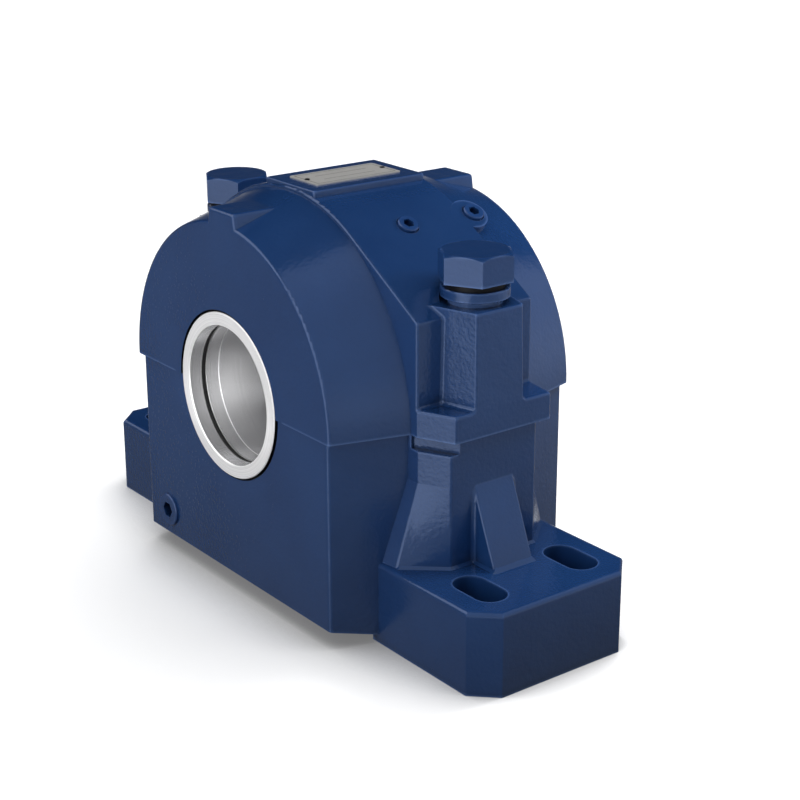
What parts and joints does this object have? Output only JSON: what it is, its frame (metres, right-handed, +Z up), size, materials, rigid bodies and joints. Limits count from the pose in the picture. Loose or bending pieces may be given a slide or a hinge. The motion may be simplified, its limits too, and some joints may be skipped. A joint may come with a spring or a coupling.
{
  "type": "split plummer block",
  "caption": "Split cast housing with a self-aligning roller bearing inside that carries a horizontal shaft, bolted down through slotted feet.",
  "frame": {"origin": "on the mounting plane, under the middle of the bearing", "axes": "+X across the feet, +Y along the shaft from the drain plug's end to the other, +Z up"},
  "size_m": [0.476, 0.2084, 0.2947],
  "materials": {
    "blue_paint": "satin",
    "bright_steel": "brushed",
    "bearing_steel": "polished",
    "washer_steel": "satin",
    "plate_alloy": "satin",
    "black_rubber": "matte",
    "brass_cage": "satin"
  },
  "bodies": {
    "housing": {"housing_base": "blue_paint", "housing_cap": "blue_paint", "cap_bolts": "blue_paint", "flat_washers": "blue_paint", "spring_washers": "washer_steel", "dowel_pins": "bearing_steel", "name_plate": "plate_alloy", "plate_rivets": "washer_steel", "cap_plugs": "blue_paint", "drain_plug": "blue_paint", "bearing_outer_ring": "bearing_steel", "front_locating_ring": "bright_steel", "rear_locating_ring": "bright_steel"},
    "rotor": {"bearing_inner_ring": "bearing_steel", "adapter_sleeve": "bright_steel", "lock_nut": "bright_steel", "lock_washer": "bright_steel", "spacer_sleeve": "bright_steel", "front_seal_ring": "bright_steel", "rear_seal_ring": "bright_steel", "front_o_ring": "black_rubber", "rear_o_ring": "black_rubber"},
    "cage_set": {"front_cage": "brass_cage", "rear_cage": "brass_cage", "front_rollers": "bearing_steel", "rear_rollers": "bearing_steel", "guide_ring": "bearing_steel"}
  },
  "joints": [
    {"name": "shaft_spin", "type": "hinge", "parent": "housing", "child": "rotor", "pos_m": [0, 0, 0.15], "axis": [0, 1, 0], "continuous": true},
    {"name": "cage_spin", "type": "hinge", "parent": "housing", "child": "cage_set", "pos_m": [0, 0, 0.15], "axis": [0, 1, 0], "continuous": true}
  ],
  "couplings": [
    {"joint": "cage_spin", "follows": "shaft_spin", "ratio": 0.4244}
  ]
}
